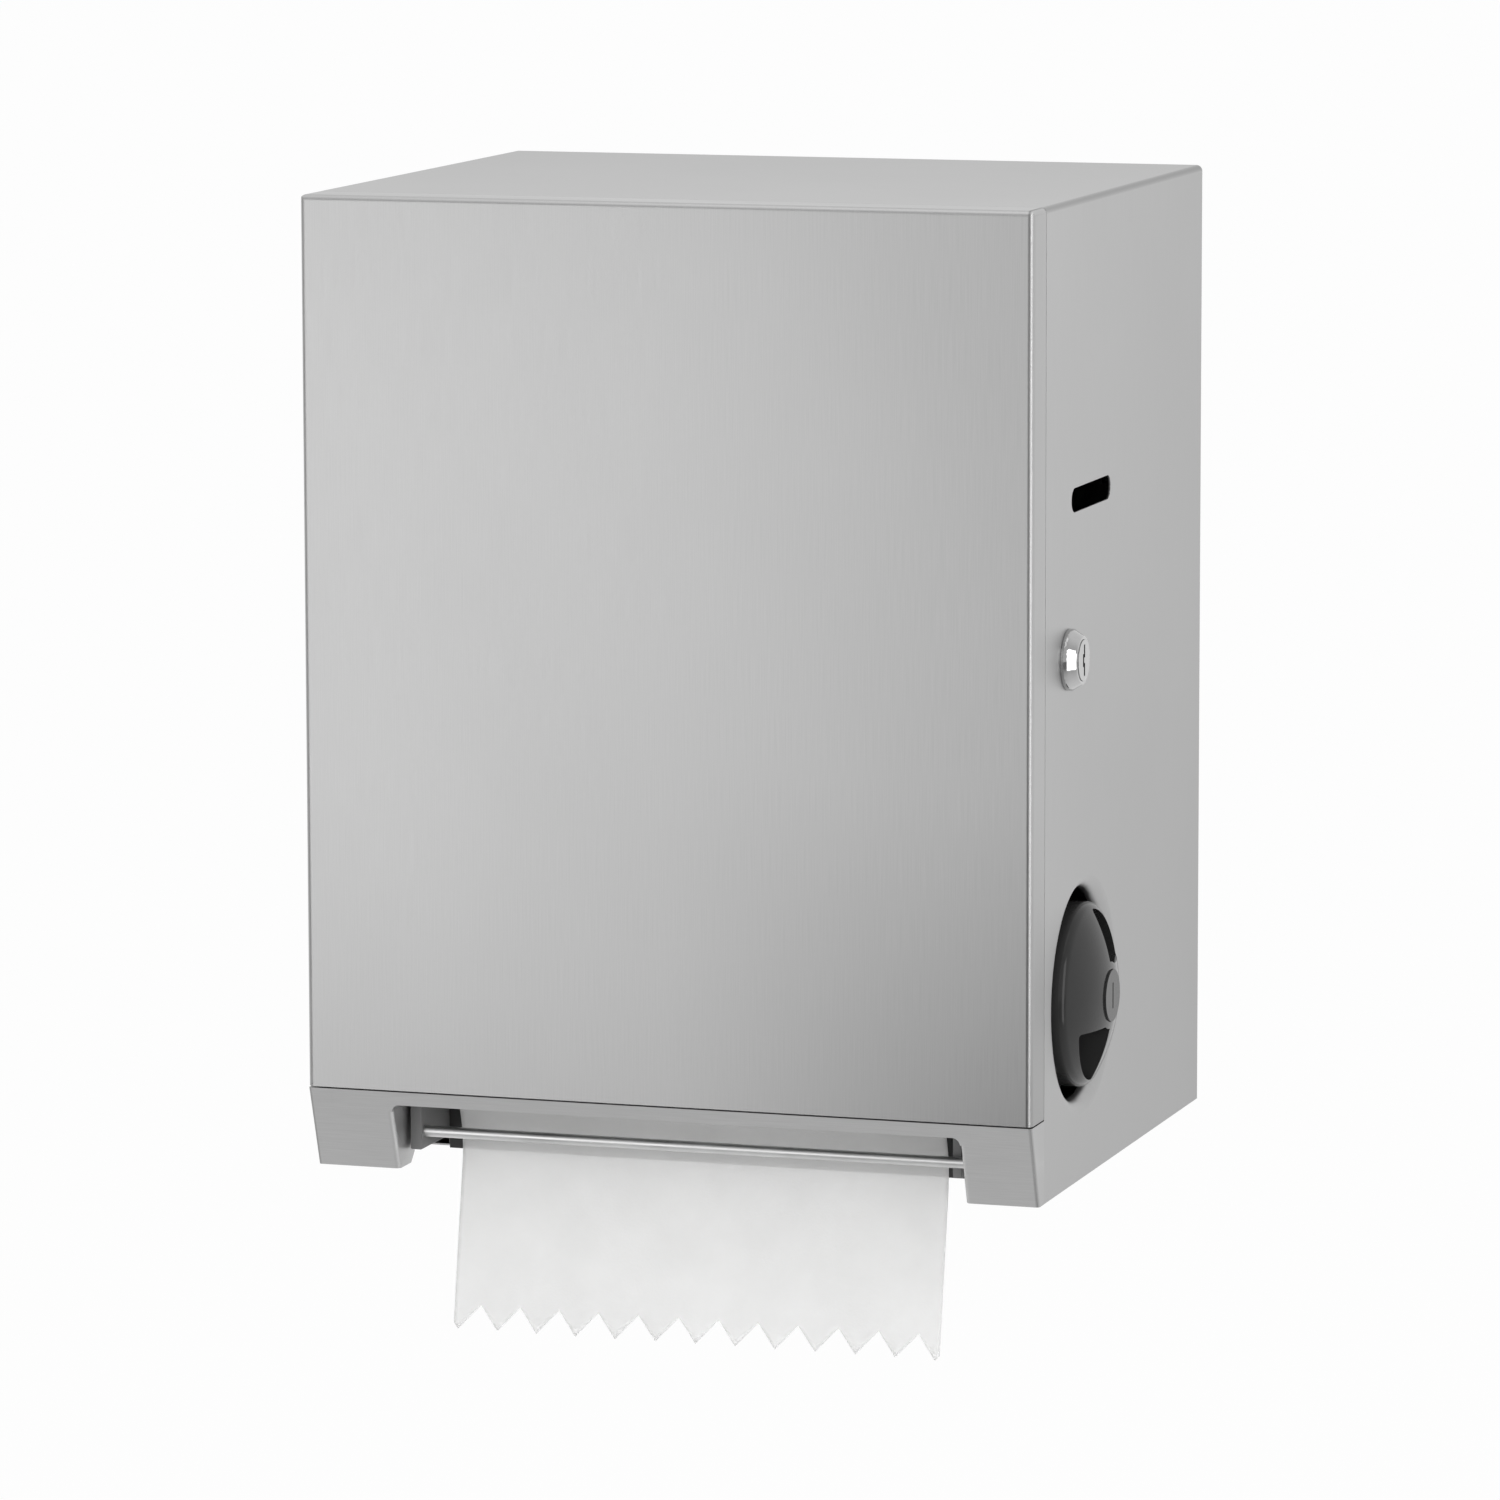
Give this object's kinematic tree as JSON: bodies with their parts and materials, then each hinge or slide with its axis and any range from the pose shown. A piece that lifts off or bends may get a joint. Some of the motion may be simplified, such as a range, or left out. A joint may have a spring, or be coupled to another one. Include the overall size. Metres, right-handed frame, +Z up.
{
  "type": "manual roll paper towel dispenser",
  "caption": "Wall-mounted steel box that feeds paper towel from an inner roll over a hand-cranked drum with a hidden cut-off knife; locked front door and side knob.",
  "frame": {"origin": "middle of the four wall bolts, on the wall plane", "axes": "+Z up, +Y into the wall, door faces -Y, knob and lock on the +X side"},
  "size_m": [0.3117, 0.25, 0.456],
  "materials": {
    "brushed_sheet": "stainless sheet with fine vertical brushing",
    "plain_sheet": "mill finish",
    "bright_steel": "polished",
    "spring_steel": "drawn wire",
    "lock_chrome": "polished",
    "frame_moulding": "satin",
    "dark_moulding": "satin",
    "black_gloss": "gloss",
    "rubber": "matt",
    "bronze": "sintered",
    "card": "raw",
    "paper": "soft crepe"
  },
  "bodies": {
    "cabinet": {"cabinet_wrap": "brushed_sheet", "back_plate": "plain_sheet", "bottom_panel": "plain_sheet", "front_apron": "brushed_sheet", "hinge_leaf_cabinet": "plain_sheet", "hinge_pin": "bright_steel", "lock_body": "lock_chrome", "lock_nut": "lock_chrome", "frame_left": "frame_moulding", "frame_right": "frame_moulding", "rear_chassis": "frame_moulding", "rear_guide": "dark_moulding", "guide_bar": "bright_steel", "tie_rods": "bright_steel", "bush_left": "bronze", "bush_right": "bronze", "knife_cam": "dark_moulding", "yoke_rod": "bright_steel", "yoke_springs": "spring_steel", "roll_arm_left": "plain_sheet", "core_hub_left": "dark_moulding", "arm_bracket": "plain_sheet", "arm_pin": "bright_steel", "arm_spring": "spring_steel", "frame_screws": "bright_steel", "arm_screws": "bright_steel", "paper_web": "paper", "paper_tail": "paper"},
    "door": {"door_panel": "brushed_sheet", "hinge_leaf_door": "plain_sheet", "strike_bracket": "plain_sheet", "strike_stud": "bright_steel"},
    "lock_cylinder": {"lock_plug": "lock_chrome", "lock_cam": "plain_sheet", "cam_screw": "bright_steel"},
    "drum": {"drum_shell": "frame_moulding", "drum_axle": "bright_steel", "grip_bands": "rubber", "knob": "black_gloss", "knob_screw": "bright_steel", "knob_cap": "black_gloss"},
    "knife": {"knife_carrier": "frame_moulding", "knife_blade": "bright_steel", "blade_screws": "bright_steel", "knife_rod": "bright_steel", "knife_spring": "spring_steel", "cam_follower": "dark_moulding"},
    "pinch_arm": {"pinch_yoke": "plain_sheet", "pinch_axle": "bright_steel"},
    "pinch_roller": {"pinch_roller": "rubber"},
    "roll_arm": {"roll_arm_right": "plain_sheet", "core_hub_right": "dark_moulding"},
    "roll": {"roll_core": "card", "paper_roll": "paper"}
  },
  "joints": [
    {"name": "door_hinge", "type": "hinge", "parent": "cabinet", "child": "door", "pos_m": [-0.14855, -0.2324, 0], "axis": [0, 0, -1], "range_deg": [0, 120]},
    {"name": "lock_turn", "type": "hinge", "parent": "cabinet", "child": "lock_cylinder", "pos_m": [0.149, -0.1995, 0.0155], "axis": [-1, 0, 0], "range_deg": [0, 90]},
    {"name": "drum_spin", "type": "hinge", "parent": "cabinet", "child": "drum", "pos_m": [0, -0.176, -0.12], "axis": [1, 0, 0], "continuous": true},
    {"name": "knife_swing", "type": "hinge", "parent": "drum", "child": "knife", "pos_m": [0, -0.2089, -0.14314], "axis": [-1, 0, 0], "range_deg": [0, 25], "stiffness_Nm_per_rad": 0.08, "springref_deg": -34.38},
    {"name": "pinch_lift", "type": "hinge", "parent": "cabinet", "child": "pinch_arm", "pos_m": [0, -0.134, -0.0541], "axis": [-1, 0, 0], "range_deg": [0, 10], "stiffness_Nm_per_rad": 2, "springref_deg": -11.46},
    {"name": "pinch_spin", "type": "hinge", "parent": "pinch_arm", "child": "pinch_roller", "pos_m": [0, -0.176, -0.0591], "axis": [1, 0, 0], "continuous": true},
    {"name": "roll_arm_swing", "type": "hinge", "parent": "cabinet", "child": "roll_arm", "pos_m": [0.10675, -0.0119, 0.0785], "axis": [0, 0, 1], "range_deg": [0, 10], "stiffness_Nm_per_rad": 1, "springref_deg": -11.46},
    {"name": "roll_spin", "type": "hinge", "parent": "cabinet", "child": "roll", "pos_m": [0, -0.122, 0.0785], "axis": [1, 0, 0], "continuous": true}
  ],
  "couplings": [
    {"joint": "pinch_spin", "follows": "drum_spin", "ratio": -4.4545},
    {"joint": "roll_spin", "follows": "drum_spin", "ratio": -0.6533}
  ]
}
